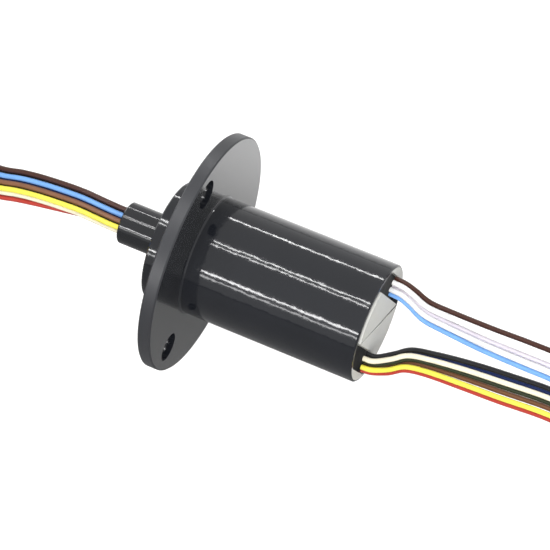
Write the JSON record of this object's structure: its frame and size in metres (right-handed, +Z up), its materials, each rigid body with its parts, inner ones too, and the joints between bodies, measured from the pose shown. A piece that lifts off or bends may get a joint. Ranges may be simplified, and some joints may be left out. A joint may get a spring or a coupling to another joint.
{
  "type": "slip_ring",
  "caption": "Flanged capsule slip ring, black body and shaft, pale split end plate, thin multicolour flying leads at both ends, wound into coils",
  "frame": {"origin": "Centre of the bolt circle on the back face of the mounting flange", "axes": "+X along the barrel towards the fixed leads, +Z up through the first bolt hole, +Y completes a right-handed frame; the rotor turns about X"},
  "size_m": [0.1912, 0.0444, 0.0628],
  "materials": {
    "housing_black": "gloss black moulded plastic, a little orange peel",
    "shaft_black": "gloss black",
    "pale_plastic": "pale warm grey, matt, moulded",
    "potting_black": "dull black casting resin",
    "inner_plastic": "dark grey moulded plastic",
    "insulator_green": "green insulating plastic and board",
    "gold": "gold plated, polished",
    "bearing_steel": "ground bearing steel",
    "spring_steel": "dark spring steel",
    "lead_coil": "bundle of insulated leads",
    "lead_black": "black insulation, smooth and slightly glossy",
    "lead_brown": "brown insulation, smooth and slightly glossy",
    "lead_red": "red insulation, smooth and slightly glossy",
    "lead_tan": "tan insulation, smooth and slightly glossy",
    "lead_yellow": "yellow insulation, smooth and slightly glossy",
    "lead_olive": "olive insulation, smooth and slightly glossy",
    "lead_blue": "blue insulation, smooth and slightly glossy",
    "lead_lavender": "lavender insulation, smooth and slightly glossy",
    "lead_cream": "cream insulation, smooth and slightly glossy",
    "lead_white": "white insulation, smooth and slightly glossy",
    "lead_grey": "grey insulation, smooth and slightly glossy",
    "lead_light_blue": "light blue insulation, smooth and slightly glossy"
  },
  "bodies": {
    "stator": {"housing": "housing_black", "front_outer_race": "bearing_steel", "rear_outer_race": "bearing_steel", "rear_carrier": "inner_plastic", "stator_potting": "potting_black", "brush_block_a": "inner_plastic", "brush_block_b": "inner_plastic", "brush_board_a": "insulator_green", "brush_board_b": "insulator_green", "brushes_a": "gold", "brushes_b": "gold", "rim_ring": "pale_plastic", "end_plate_a": "pale_plastic", "end_plate_b": "pale_plastic", "stator_coil": "lead_coil", "stator_lead_black": "lead_black", "stator_lead_brown": "lead_brown", "stator_lead_red": "lead_red", "stator_lead_tan": "lead_tan", "stator_lead_yellow": "lead_yellow", "stator_lead_olive": "lead_olive", "stator_lead_blue": "lead_blue", "stator_lead_lavender": "lead_lavender", "stator_lead_cream": "lead_cream", "stator_lead_white": "lead_white", "stator_lead_grey": "lead_grey", "stator_lead_light_blue": "lead_light_blue"},
    "rotor": {"rotor_shaft": "shaft_black", "ring_sleeve": "insulator_green", "circlip": "spring_steel", "rotor_potting": "potting_black", "front_inner_race": "bearing_steel", "rear_inner_race": "bearing_steel", "rotor_coil": "lead_coil", "slip_ring_1": "gold", "slip_ring_2": "gold", "slip_ring_3": "gold", "slip_ring_4": "gold", "slip_ring_5": "gold", "slip_ring_6": "gold", "slip_ring_7": "gold", "slip_ring_8": "gold", "slip_ring_9": "gold", "slip_ring_10": "gold", "slip_ring_11": "gold", "slip_ring_12": "gold", "rotor_lead_black": "lead_black", "rotor_lead_brown": "lead_brown", "rotor_lead_red": "lead_red", "rotor_lead_tan": "lead_tan", "rotor_lead_yellow": "lead_yellow", "rotor_lead_olive": "lead_olive", "rotor_lead_blue": "lead_blue", "rotor_lead_lavender": "lead_lavender", "rotor_lead_cream": "lead_cream", "rotor_lead_white": "lead_white", "rotor_lead_grey": "lead_grey", "rotor_lead_light_blue": "lead_light_blue"},
    "front_ball_ring": {"front_balls": "bearing_steel"},
    "rear_ball_ring": {"rear_balls": "bearing_steel"}
  },
  "joints": [
    {"name": "rotor_spin", "type": "hinge", "parent": "stator", "child": "rotor", "pos_m": [0, 0, 0], "axis": [1, 0, 0], "continuous": true},
    {"name": "front_balls_roll", "type": "hinge", "parent": "stator", "child": "front_ball_ring", "pos_m": [0, 0, 0], "axis": [1, 0, 0], "continuous": true},
    {"name": "rear_balls_roll", "type": "hinge", "parent": "stator", "child": "rear_ball_ring", "pos_m": [0, 0, 0], "axis": [1, 0, 0], "continuous": true}
  ],
  "couplings": [
    {"joint": "front_balls_roll", "follows": "rotor_spin", "ratio": 0.4},
    {"joint": "rear_balls_roll", "follows": "rotor_spin", "ratio": 0.4}
  ]
}
